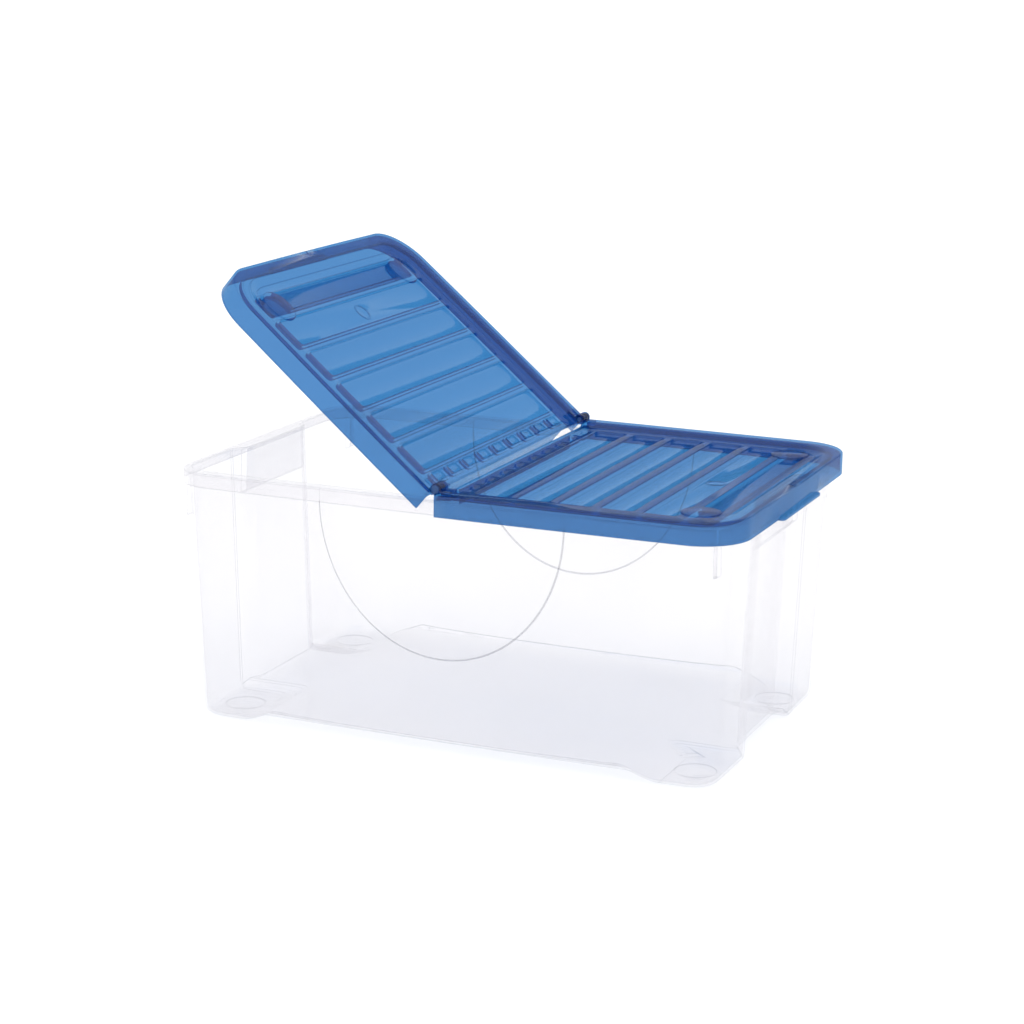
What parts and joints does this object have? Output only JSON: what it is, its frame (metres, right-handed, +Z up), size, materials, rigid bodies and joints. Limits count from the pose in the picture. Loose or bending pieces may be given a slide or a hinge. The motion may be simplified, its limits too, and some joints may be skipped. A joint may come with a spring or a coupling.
{
  "type": "lidded storage box",
  "caption": "Clear plastic storage box on corner feet, closed by two blue lid halves that hinge about a line across the middle.",
  "frame": {"origin": "on the ground under the hinge line, midway across the box; the plan centre of the box and lid, within 4 mm", "axes": "+X along the box towards the shut lid half, +Y across it away from the viewer, +Z up"},
  "size_m": [0.5964, 0.395, 0.4534],
  "materials": {
    "clear_body": "clear polypropylene with a faint cool haze",
    "lid_right": "translucent blue polypropylene",
    "lid_left": "translucent blue polypropylene",
    "pin": "solid blue moulded plastic"
  },
  "bodies": {
    "box": {"box": "clear_body"},
    "hinge_pins": {"hinge_pin_near": "pin", "hinge_pin_far": "pin"},
    "right_half": {"lid_half_right": "lid_right"},
    "left_half": {"lid_half_left": "lid_left"}
  },
  "joints": [
    {"name": "lid_lift", "type": "slide", "parent": "box", "child": "hinge_pins", "axis": [0, 0, 1], "range_m": [0, 0.1]},
    {"name": "left_half_hinge", "type": "hinge", "parent": "hinge_pins", "child": "left_half", "pos_m": [0, 0, 0.2653], "axis": [0, 1, 0], "range_deg": [-40, 50]},
    {"name": "right_half_hinge", "type": "hinge", "parent": "hinge_pins", "child": "right_half", "pos_m": [0, 0, 0.2653], "axis": [0, -1, 0], "range_deg": [0, 90]}
  ]
}
